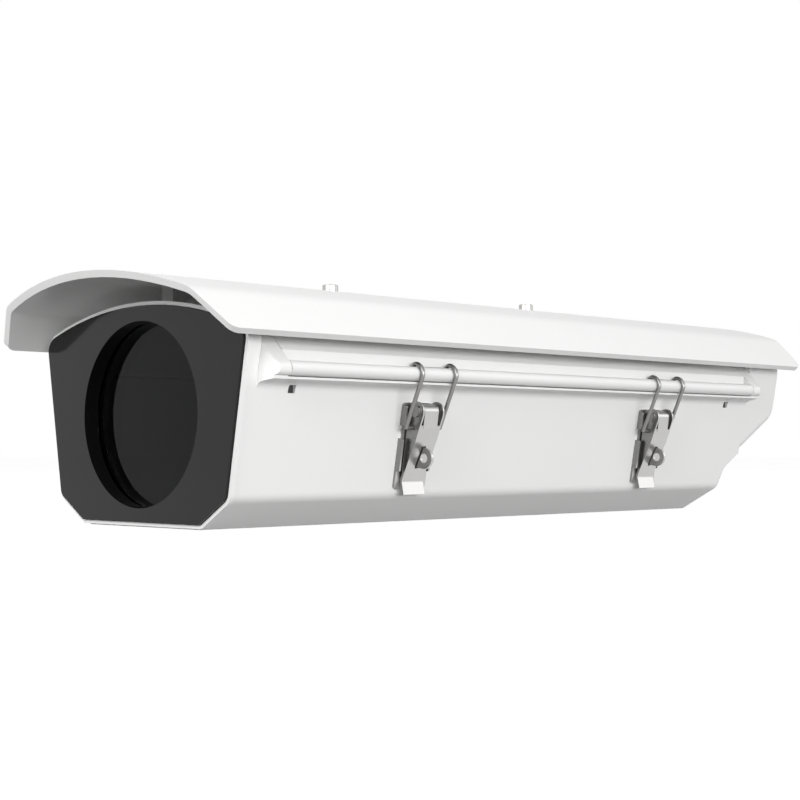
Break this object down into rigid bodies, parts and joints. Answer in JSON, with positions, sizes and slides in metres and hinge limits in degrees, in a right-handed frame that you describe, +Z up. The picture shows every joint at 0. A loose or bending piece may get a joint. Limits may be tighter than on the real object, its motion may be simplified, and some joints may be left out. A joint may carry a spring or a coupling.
{
  "type": "security camera housing",
  "caption": "Long weatherproof camera housing with a round front window, a side-opening lid held by over-centre latches, and a raised sunshield.",
  "frame": {"origin": "middle of the whole part in plan, at the flat underside of the casting", "axes": "+X towards the latch side, +Y from the window to the rear, +Z up"},
  "size_m": [0.1708, 0.4574, 0.1172],
  "materials": {
    "body_paint": "white powder coat, satin, fine texture",
    "shield_paint": "white powder coat, satin",
    "front_plate": "dark grey, high gloss",
    "window": "clear, flat, with a faint grey tint",
    "seal_rubber": "black, matt",
    "buffer_rubber": "black, matt",
    "spacer_metal": "turned, satin",
    "screw_steel": "stainless, lightly brushed",
    "earth_brass": "plain brass",
    "tray_metal": "bare sheet, satin",
    "board": "green laminate, satin",
    "terminal_plastic": "green moulded plastic",
    "gland_plastic": "grey moulded plastic",
    "plug_plastic": "black moulded plastic",
    "latch_steel": "stainless sheet, brushed",
    "latch_wire": "stainless wire, drawn"
  },
  "bodies": {
    "housing": {"lower_housing": "body_paint", "front_bezel": "front_plate", "window_glass": "window", "window_gasket": "seal_rubber", "bezel_screws": "screw_steel", "camera_tray": "tray_metal", "tray_standoffs": "tray_metal", "tray_screws": "screw_steel", "camera_screw": "screw_steel", "terminal_board": "board", "terminal_block": "terminal_plastic", "board_screws": "screw_steel", "earth_screw": "earth_brass", "gland_locknuts": "gland_plastic", "latch_rivets": "latch_steel", "left_gland_body": "gland_plastic", "left_gland_seal": "seal_rubber", "left_gland_nut": "gland_plastic", "left_gland_plug": "plug_plastic", "right_gland_body": "gland_plastic", "right_gland_seal": "seal_rubber", "right_gland_nut": "gland_plastic", "right_gland_plug": "plug_plastic", "front_hinge_pin": "latch_steel", "rear_hinge_pin": "latch_steel", "front_latch_base": "latch_steel", "front_latch_pin": "latch_steel", "rear_latch_base": "latch_steel", "rear_latch_pin": "latch_steel"},
    "lid": {"lid_cover": "body_paint", "lid_gasket": "seal_rubber", "sunshield": "shield_paint", "shield_spacers": "spacer_metal", "shield_screws": "screw_steel", "shield_washers": "screw_steel", "shield_buffer": "buffer_rubber"},
    "front_lever": {"front_latch_lever": "latch_steel"},
    "rear_lever": {"rear_latch_lever": "latch_steel"},
    "front_bail": {"front_latch_bail": "latch_wire"},
    "rear_bail": {"rear_latch_bail": "latch_wire"}
  },
  "joints": [
    {"name": "lid_hinge", "type": "hinge", "parent": "housing", "child": "lid", "pos_m": [-0.0784, 0, 0.0693], "axis": [0, -1, 0], "range_deg": [0, 90]},
    {"name": "front_latch", "type": "hinge", "parent": "housing", "child": "front_lever", "pos_m": [0.07473, -0.08816, 0.05229], "axis": [0, -1, 0], "range_deg": [0, 68]},
    {"name": "rear_latch", "type": "hinge", "parent": "housing", "child": "rear_lever", "pos_m": [0.07473, 0.09664, 0.05229], "axis": [0, -1, 0], "range_deg": [0, 68]},
    {"name": "front_bail_swing", "type": "hinge", "parent": "front_lever", "child": "front_bail", "pos_m": [0.07233, -0.08816, 0.04478], "axis": [0, -1, 0], "range_deg": [-50, 0]},
    {"name": "rear_bail_swing", "type": "hinge", "parent": "rear_lever", "child": "rear_bail", "pos_m": [0.07233, 0.09664, 0.04478], "axis": [0, -1, 0], "range_deg": [-50, 0]}
  ],
  "couplings": [
    {"joint": "front_bail_swing", "follows": "front_latch", "ratio": -0.733},
    {"joint": "rear_bail_swing", "follows": "rear_latch", "ratio": -0.733}
  ]
}
